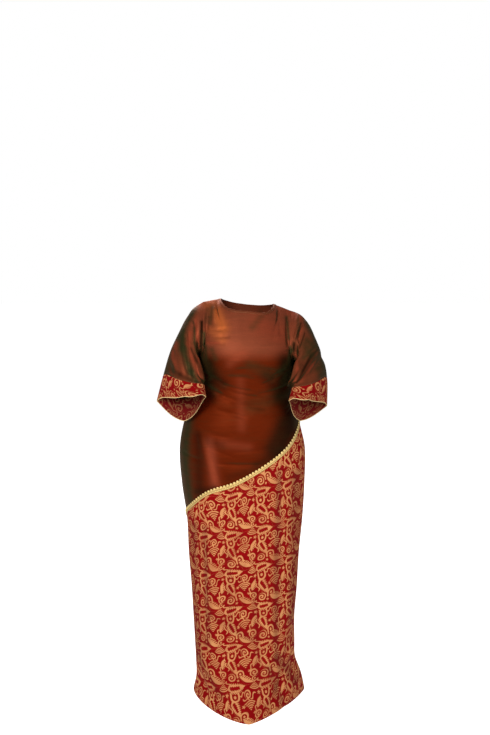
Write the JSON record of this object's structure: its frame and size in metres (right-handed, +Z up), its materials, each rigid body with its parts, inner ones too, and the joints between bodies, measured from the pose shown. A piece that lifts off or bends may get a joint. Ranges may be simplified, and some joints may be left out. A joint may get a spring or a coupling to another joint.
{
  "type": "boubou gown",
  "caption": "Floor-length fitted gown with wide three-quarter sleeves, a slanting hip seam with braid, and a printed skirt and sleeve bands.",
  "frame": {"origin": "midway between the two shoulder seams, at the height of the neck points, where a wearer's shoulders hold the gown up", "axes": "+X to the viewer's right as seen from the front, +Y towards the back, +Z up"},
  "size_m": [0.5893, 0.4138, 1.4164],
  "materials": {
    "shot_taffeta": "crisp shot taffeta, copper red that turns dark green at an angle",
    "printed_cloth": "matte cotton with a gold leaf and scroll print on red",
    "gold_braid": "gold metallic thread"
  },
  "bodies": {
    "root": {"bodice_front": "shot_taffeta", "bodice_back": "shot_taffeta", "sleeve_left": "shot_taffeta", "sleeve_right": "shot_taffeta", "neck_binding": "shot_taffeta", "skirt_front": "printed_cloth", "skirt_back": "printed_cloth", "sleeve_band_left": "printed_cloth", "sleeve_band_right": "printed_cloth", "braid_front": "gold_braid", "braid_back": "gold_braid"}
  },
  "joints": []
}
